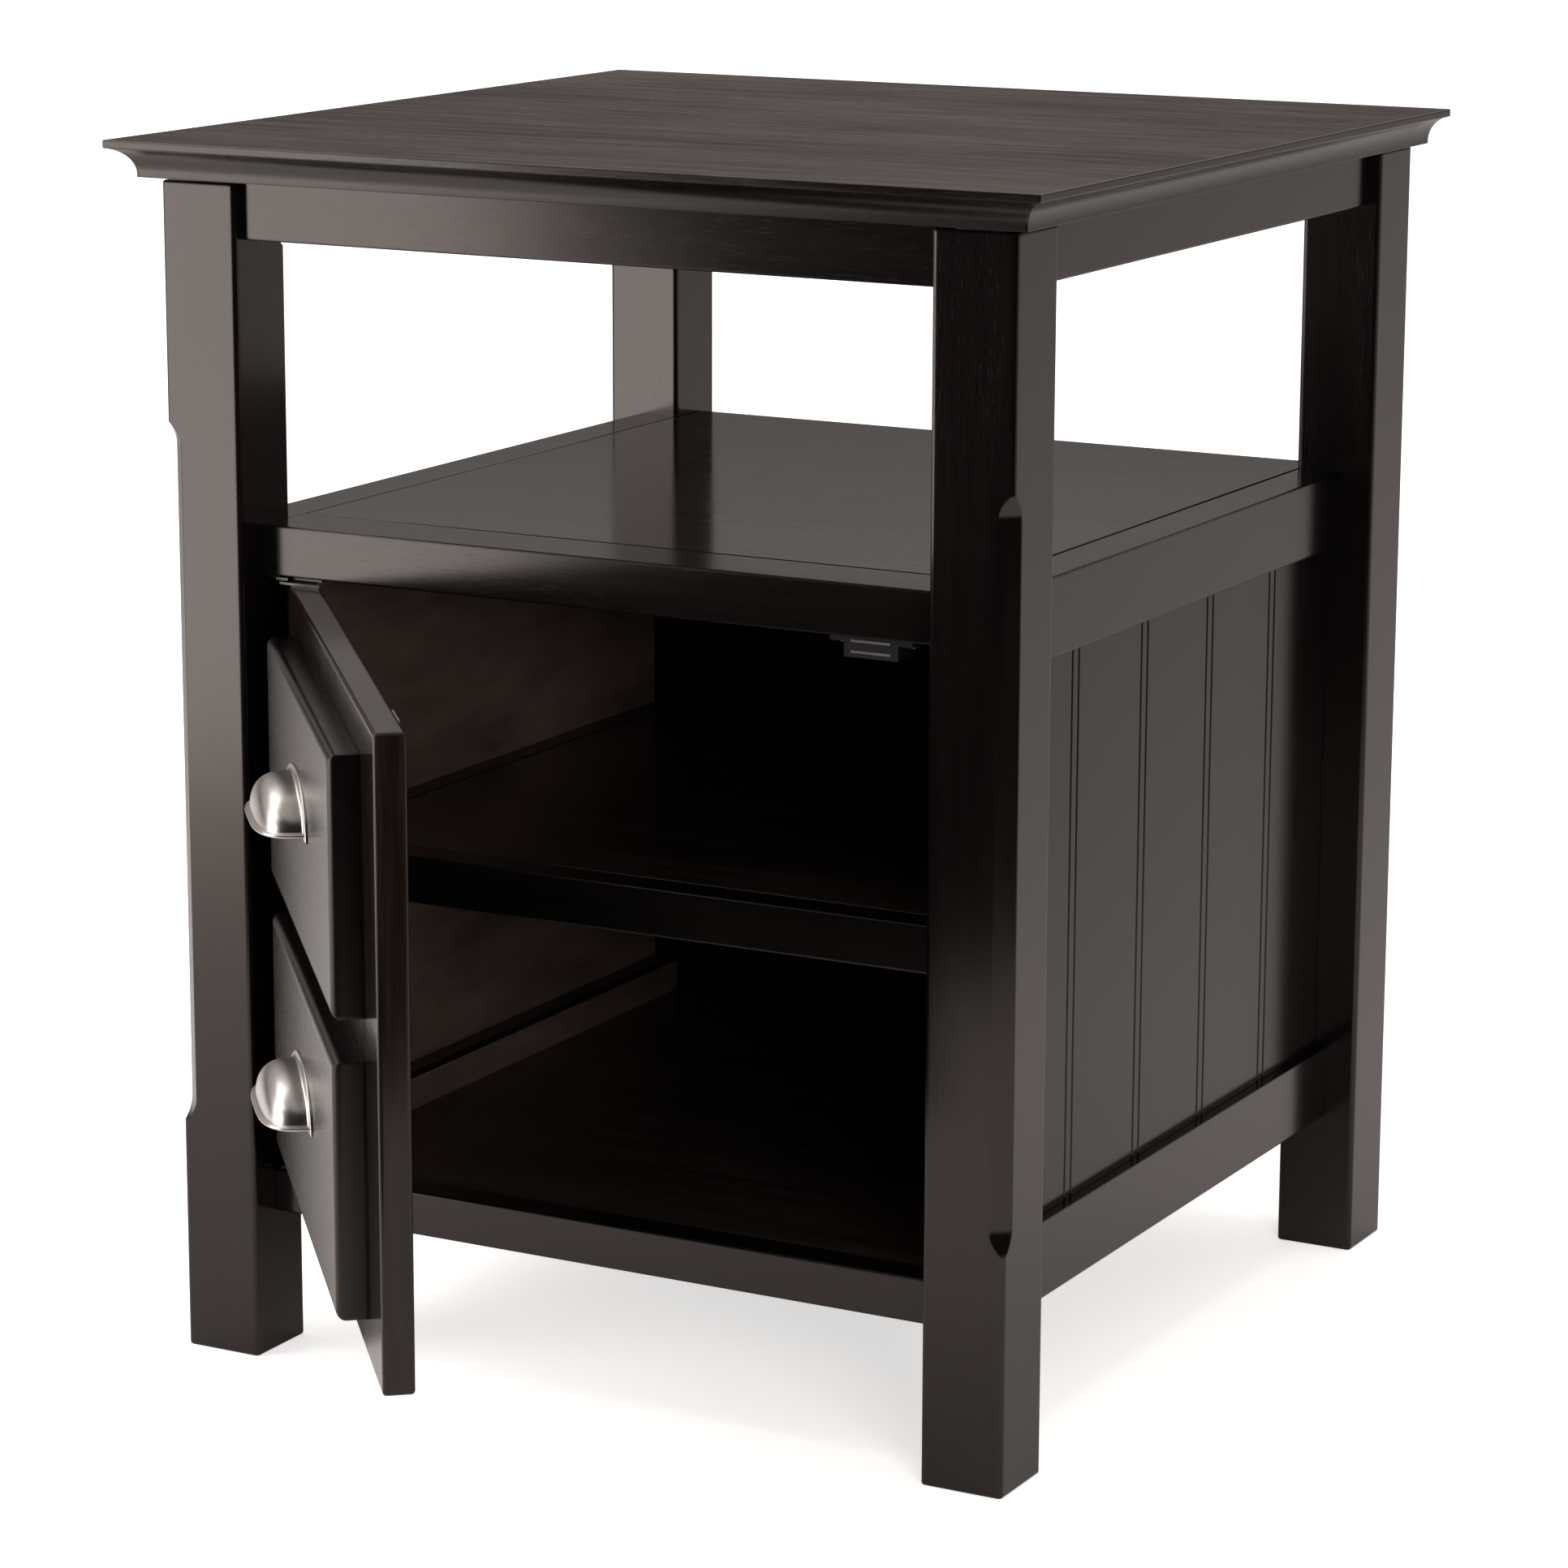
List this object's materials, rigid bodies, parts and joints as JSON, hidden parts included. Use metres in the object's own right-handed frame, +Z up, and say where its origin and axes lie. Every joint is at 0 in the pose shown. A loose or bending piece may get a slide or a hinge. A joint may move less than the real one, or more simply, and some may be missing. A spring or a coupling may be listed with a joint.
{
  "type": "side table",
  "caption": "Square side table with an open shelf over a cabinet, closed by a side-hung inset door dressed as drawers with cup pulls.",
  "frame": {"origin": "centre of the legs' footprint, at floor level", "axes": "+Z up, +X to the right seen from the front, -Y towards the front where the door opens"},
  "size_m": [0.5194, 0.7572, 0.635],
  "materials": {
    "stained_wood": "near-black espresso stain under a semi-gloss lacquer, pores showing",
    "stained_veneer": "veneered board, near-black espresso stain under a semi-gloss lacquer",
    "back_board": "thin hardboard, dark stain, dull",
    "satin_nickel": "satin nickel plate",
    "hinge_steel": "nickel plated steel",
    "zinc_steel": "zinc plated steel",
    "catch_plastic": "black moulded plastic"
  },
  "bodies": {
    "table": {"apron_front": "stained_wood", "apron_left": "stained_wood", "apron_rear": "stained_wood", "apron_right": "stained_wood", "back_brads": "zinc_steel", "back_panel": "back_board", "bottom_panel": "stained_veneer", "bottom_rail_front": "stained_wood", "bottom_rail_rear": "stained_wood", "bracket_nuts": "zinc_steel", "bracket_screws": "zinc_steel", "catch_body": "catch_plastic", "catch_pole_plates": "zinc_steel", "catch_screws": "zinc_steel", "corner_bracket_front_left": "zinc_steel", "corner_bracket_front_right": "zinc_steel", "corner_bracket_rear_left": "zinc_steel", "corner_bracket_rear_right": "zinc_steel", "hanger_bolts": "zinc_steel", "hinge_frame_screws": "hinge_steel", "hinge_lower_frame_leaf": "hinge_steel", "hinge_upper_frame_leaf": "hinge_steel", "leg_front_left": "stained_wood", "leg_front_right": "stained_wood", "leg_rear_left": "stained_wood", "leg_rear_right": "stained_wood", "middle_cleat_left": "stained_wood", "middle_cleat_right": "stained_wood", "middle_shelf": "stained_veneer", "middle_shelf_rail": "stained_wood", "shelf_panel": "stained_veneer", "shelf_rail_front": "stained_wood", "shelf_rail_rear": "stained_wood", "side_panel_left": "stained_veneer", "side_panel_right": "stained_veneer", "side_rail_lower_left": "stained_wood", "side_rail_lower_right": "stained_wood", "side_rail_upper_left": "stained_wood", "side_rail_upper_right": "stained_wood", "top_moulding_front": "stained_wood", "top_moulding_left": "stained_wood", "top_moulding_right": "stained_wood", "top_panel": "stained_veneer"},
    "door": {"cup_pull_lower": "satin_nickel", "cup_pull_upper": "satin_nickel", "door_slab": "stained_veneer", "false_front_lower": "stained_wood", "false_front_upper": "stained_wood", "hinge_door_screws": "hinge_steel", "hinge_lower_door_leaf": "hinge_steel", "hinge_upper_door_leaf": "hinge_steel", "pull_screws": "zinc_steel", "strike_plate": "zinc_steel"}
  },
  "joints": [
    {"name": "door_hinge", "type": "hinge", "parent": "table", "child": "door", "pos_m": [-0.1815, -0.22475, 0.258], "axis": [0, 0, -1], "range_deg": [-50.3, 59.7]}
  ]
}
